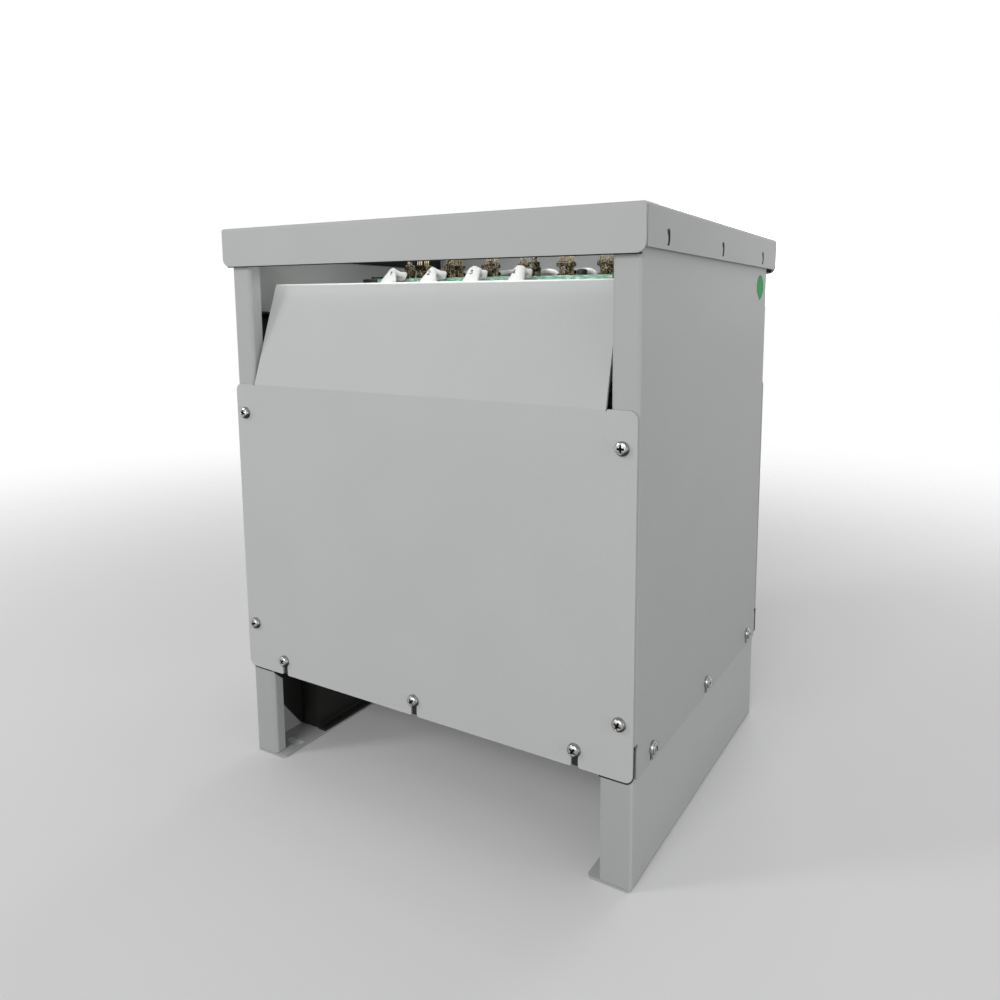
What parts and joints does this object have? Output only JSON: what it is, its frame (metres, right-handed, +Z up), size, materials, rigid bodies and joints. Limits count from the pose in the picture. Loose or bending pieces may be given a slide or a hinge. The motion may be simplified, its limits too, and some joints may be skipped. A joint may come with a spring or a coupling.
{
  "type": "isolation transformer",
  "caption": "Ventilated dry-type isolation transformer in a floor-standing folded-sheet enclosure, with slanted baffles below the vents and slotted mounting feet.",
  "frame": {"origin": "centre of the pattern of the four mounting slots in the feet, on the floor plane", "axes": "+Z up, +X to the right seen from the front (the side of the front cover next to the row of four stud terminals), +Y from front to back"},
  "size_m": [0.453, 0.3556, 0.544],
  "materials": {
    "bare_wire": "gloss",
    "base_paint": "satin",
    "black_plastic": "matte",
    "black_steel": "satin",
    "board_green": "satin",
    "clamp_steel": "satin",
    "core_steel": "satin",
    "cover_paint": "satin",
    "pad_rubber": "matte",
    "panel_paint": "satin",
    "plain_steel": "satin",
    "pressboard": "matte",
    "shield_copper": "satin",
    "terminal_brass": "satin",
    "white_sleeve": "matte",
    "winding_wire": "satin",
    "zinc_screws": "satin"
  },
  "bodies": {
    "root": {"back_base_rail": "base_paint", "back_cover": "cover_paint", "back_cover_screws": "zinc_screws", "back_sleeved_leads": "white_sleeve", "back_terminal_angles": "terminal_brass", "back_terminal_bolts": "terminal_brass", "back_terminal_nuts": "terminal_brass", "back_terminal_plates": "terminal_brass", "back_wire_ends": "bare_wire", "board_cap": "black_plastic", "board_screws": "black_plastic", "cable_entry_plug": "black_plastic", "coil_former": "pressboard", "coil_wrap": "pressboard", "core_clamp_bolts": "plain_steel", "core_clamp_nuts": "plain_steel", "core_clamp_washers": "plain_steel", "core_mount_bolts": "plain_steel", "core_mount_nuts": "plain_steel", "electrostatic_shield": "shield_copper", "front_base_rail": "base_paint", "front_cover": "cover_paint", "front_cover_screws": "zinc_screws", "front_lead_lugs": "terminal_brass", "front_sleeved_leads": "white_sleeve", "front_terminal_nuts": "terminal_brass", "front_terminal_studs": "terminal_brass", "front_terminal_washers": "terminal_brass", "inner_barrier": "pressboard", "laminated_core": "core_steel", "left_base": "base_paint", "left_board_bracket": "clamp_steel", "left_core_support": "black_steel", "left_side_panel": "panel_paint", "left_side_screws": "zinc_screws", "lid_seals": "pad_rubber", "lower_back_clamp": "clamp_steel", "lower_front_clamp": "clamp_steel", "outer_barrier": "pressboard", "primary_winding": "winding_wire", "right_base": "base_paint", "right_board_bracket": "clamp_steel", "right_core_support": "black_steel", "right_side_panel": "panel_paint", "right_side_screws": "zinc_screws", "secondary_winding": "winding_wire", "terminal_board": "board_green", "top_cover": "cover_paint", "upper_back_clamp": "clamp_steel", "upper_front_clamp": "clamp_steel", "vibration_pads": "pad_rubber"}
  },
  "joints": []
}
